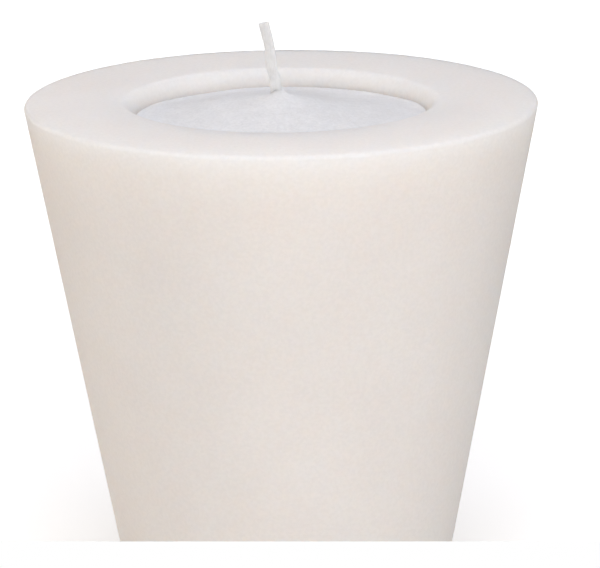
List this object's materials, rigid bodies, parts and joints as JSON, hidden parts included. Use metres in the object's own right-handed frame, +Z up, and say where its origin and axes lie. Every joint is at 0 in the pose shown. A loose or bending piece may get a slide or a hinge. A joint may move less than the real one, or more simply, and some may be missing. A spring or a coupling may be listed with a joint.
{
  "type": "unity candle",
  "caption": "Tapering wax unity candle, wide at the top, with a lined round well that holds a lift-out pressed wax refill in its own cup, with a flat braided wick.",
  "frame": {"origin": "centre of the underside of the felt pad, on the surface the candle stands on", "axes": "+Z up along the candle's axis of revolution; the wick leans towards -X; -Y faces the viewer"},
  "size_m": [0.15, 0.15, 0.1731],
  "materials": {
    "body_wax": "ivory paraffin wax, cast, satin, lets light into its edges",
    "liner_aluminium": "thin drawn aluminium, bare, satin",
    "pad_felt": "pressed wool felt, oatmeal",
    "cup_plastic": "frosted translucent heat-resistant plastic",
    "refill_wax": "white pressed paraffin wax granules, matt and finely grained",
    "wick_cotton": "flat braided cotton, waxed",
    "sustainer_steel": "tinned sheet steel, stamped",
    "sticky_foam": "heat-proof double-sided foam adhesive"
  },
  "bodies": {
    "candle": {"candle_body": "body_wax", "socket_liner": "liner_aluminium", "base_pad": "pad_felt"},
    "refill": {"refill_wax": "refill_wax", "refill_cup": "cup_plastic", "wick": "wick_cotton", "wick_sustainer": "sustainer_steel", "sustainer_pad": "sticky_foam"}
  },
  "joints": [
    {"name": "refill_lift", "type": "slide", "parent": "candle", "child": "refill", "axis": [0, 0, 1], "range_m": [0, 0.065]}
  ]
}
